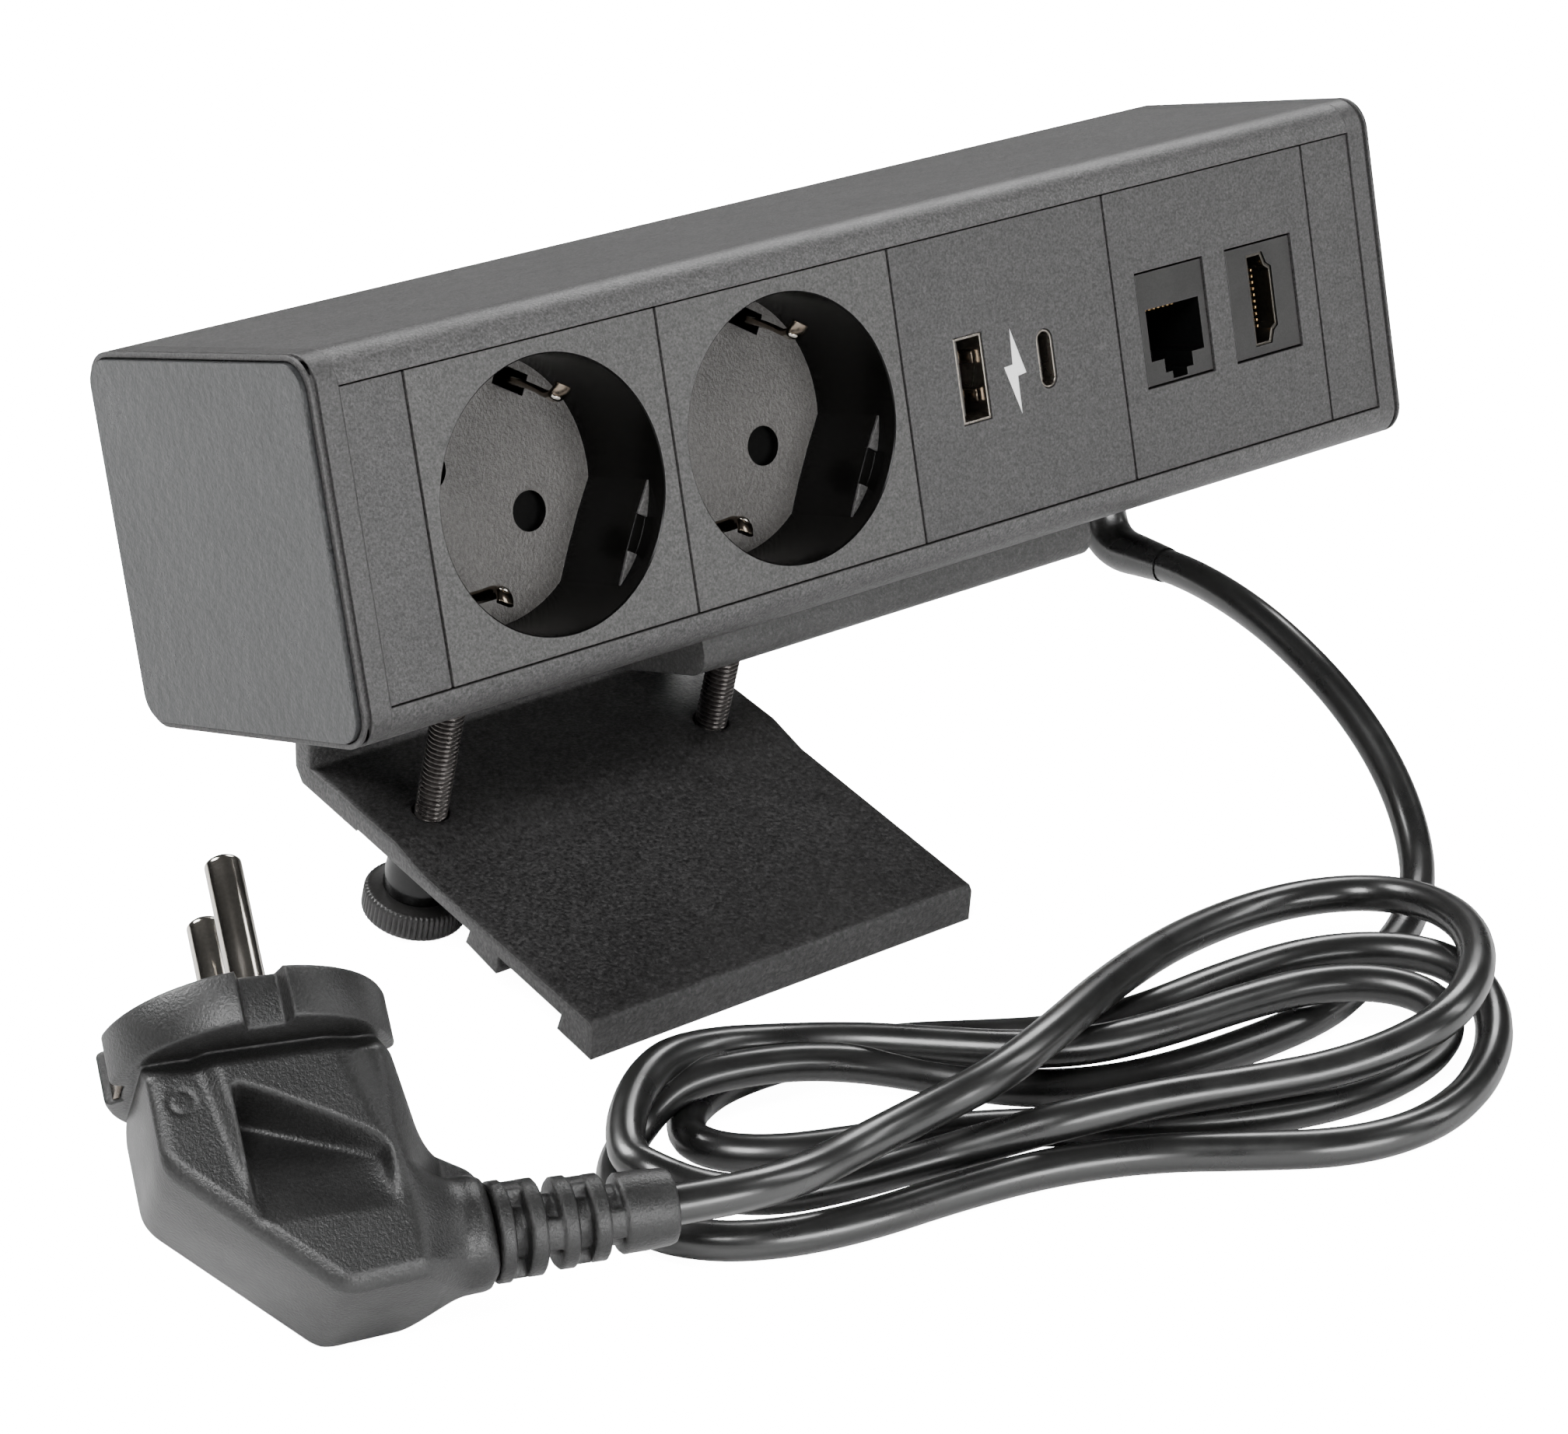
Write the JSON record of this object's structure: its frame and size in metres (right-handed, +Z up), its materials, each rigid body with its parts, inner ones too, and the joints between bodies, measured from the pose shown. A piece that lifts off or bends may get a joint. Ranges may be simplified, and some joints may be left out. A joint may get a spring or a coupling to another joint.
{
  "type": "desk power strip",
  "caption": "Box-shaped desk power strip with earthed sockets, USB, network and video ports, a tilting screw clamp for the desk edge, and a mains lead with an angled plug.",
  "frame": {"origin": "on the standing surface, below the middle of the strip and its clamp, without the mains lead", "axes": "+Z up, +X along the strip towards the data ports, -Y towards the socket side"},
  "size_m": [0.2826, 0.1772, 0.1016],
  "materials": {
    "housing_paint": "fine textured charcoal powder coat",
    "cap_plastic": "satin charcoal",
    "plate_plastic": "satin blue-grey, orange peel",
    "module_plastic": "fine matt grain",
    "socket_plastic": "matt face, polished recess",
    "inner_plastic": "plain moulded",
    "contact_metal": "nickel plated",
    "plated_steel": "zinc or nickel plated",
    "keystone_plastic": "fine matt grain",
    "white_print": "printed white",
    "board": "solder resist",
    "cord_pvc": "semi-gloss black",
    "plug_plastic": "fine textured black",
    "block_paint": "coarse textured black",
    "bracket_paint": "satin black, worn edges",
    "screw_steel": "oxide brown threaded steel",
    "knob_plastic": "black, straight knurl"
  },
  "bodies": {
    "housing": {"charge_symbol": "white_print", "charger_board": "board", "charger_components": "inner_plastic", "cord_gland": "cord_pvc", "cord_saddle": "inner_plastic", "cord_saddle_screws": "plated_steel", "data_module_front": "module_plastic", "earth_bus_bar": "contact_metal", "end_cap_screws": "plated_steel", "hdmi_coupler": "keystone_plastic", "hdmi_shell": "plated_steel", "hdmi_tongue": "inner_plastic", "housing_shell": "housing_paint", "inner_lead": "cord_pvc", "left_end_cap": "cap_plastic", "left_end_plate": "plate_plastic", "left_filler_strip": "module_plastic", "live_bus_bar": "contact_metal", "mounting_block": "block_paint", "mounting_block_screws": "plated_steel", "neutral_bus_bar": "contact_metal", "plug_body": "plug_plastic", "plug_earth_contacts": "contact_metal", "plug_pins": "contact_metal", "plug_strain_relief": "cord_pvc", "power_cord_hank": "cord_pvc", "power_cord_lead": "cord_pvc", "power_cord_tail": "cord_pvc", "right_end_cap": "cap_plastic", "right_end_plate": "plate_plastic", "right_filler_strip": "module_plastic", "rj45_contacts": "contact_metal", "rj45_jack": "keystone_plastic", "socket_1_contact_housing": "inner_plastic", "socket_1_earth_clip": "contact_metal", "socket_1_front": "socket_plastic", "socket_1_pin_contacts": "contact_metal", "socket_2_contact_housing": "inner_plastic", "socket_2_earth_clip": "contact_metal", "socket_2_front": "socket_plastic", "socket_2_pin_contacts": "contact_metal", "terminal_block": "inner_plastic", "terminal_screws": "plated_steel", "tilt_bar_bearings": "inner_plastic", "usb_a_shell": "plated_steel", "usb_a_tongue": "inner_plastic", "usb_c_shell": "plated_steel", "usb_c_tongue": "inner_plastic", "usb_module_box": "inner_plastic", "usb_module_front": "module_plastic"},
    "tilt_bar": {"tilt_bar": "screw_steel"},
    "clamp_bracket": {"clamp_bracket": "bracket_paint"},
    "left_screw": {"left_clamp_screw": "screw_steel", "left_collar": "knob_plastic", "left_knob": "knob_plastic"},
    "right_screw": {"right_clamp_screw": "screw_steel", "right_collar": "knob_plastic", "right_knob": "knob_plastic"},
    "socket_1_shutter": {"socket_1_shutter": "inner_plastic"},
    "socket_2_shutter": {"socket_2_shutter": "inner_plastic"}
  },
  "joints": [
    {"name": "clamp_tilt", "type": "hinge", "parent": "housing", "child": "tilt_bar", "pos_m": [-0.043, 0.00066, 0.04952], "axis": [-1, 0, 0], "range_deg": [0, 28.2]},
    {"name": "clamp_travel", "type": "slide", "parent": "tilt_bar", "child": "clamp_bracket", "axis": [0, 0.2622, -0.965], "range_m": [-0.001, 0.0045]},
    {"name": "left_screw_turn", "type": "hinge", "parent": "clamp_bracket", "child": "left_screw", "pos_m": [-0.0704, 0.01138, 0.01005], "axis": [0, 0.2622, -0.965], "range_deg": [-451, 2030]},
    {"name": "right_screw_turn", "type": "hinge", "parent": "clamp_bracket", "child": "right_screw", "pos_m": [-0.0156, 0.01138, 0.01005], "axis": [0, 0.2622, -0.965], "range_deg": [-451, 2030]},
    {"name": "socket_1_shutter_slide", "type": "slide", "parent": "housing", "child": "socket_1_shutter", "axis": [-0.866, 0.1125, 0.4872], "range_m": [0, 0.0065], "stiffness_N_per_m": 120, "springref_m": -0.002},
    {"name": "socket_2_shutter_slide", "type": "slide", "parent": "housing", "child": "socket_2_shutter", "axis": [-0.866, 0.1125, 0.4872], "range_m": [0, 0.0065], "stiffness_N_per_m": 120, "springref_m": -0.002}
  ],
  "couplings": [
    {"joint": "left_screw_turn", "follows": "clamp_travel", "rad_per_m": 7854},
    {"joint": "right_screw_turn", "follows": "clamp_travel", "rad_per_m": 7854}
  ]
}
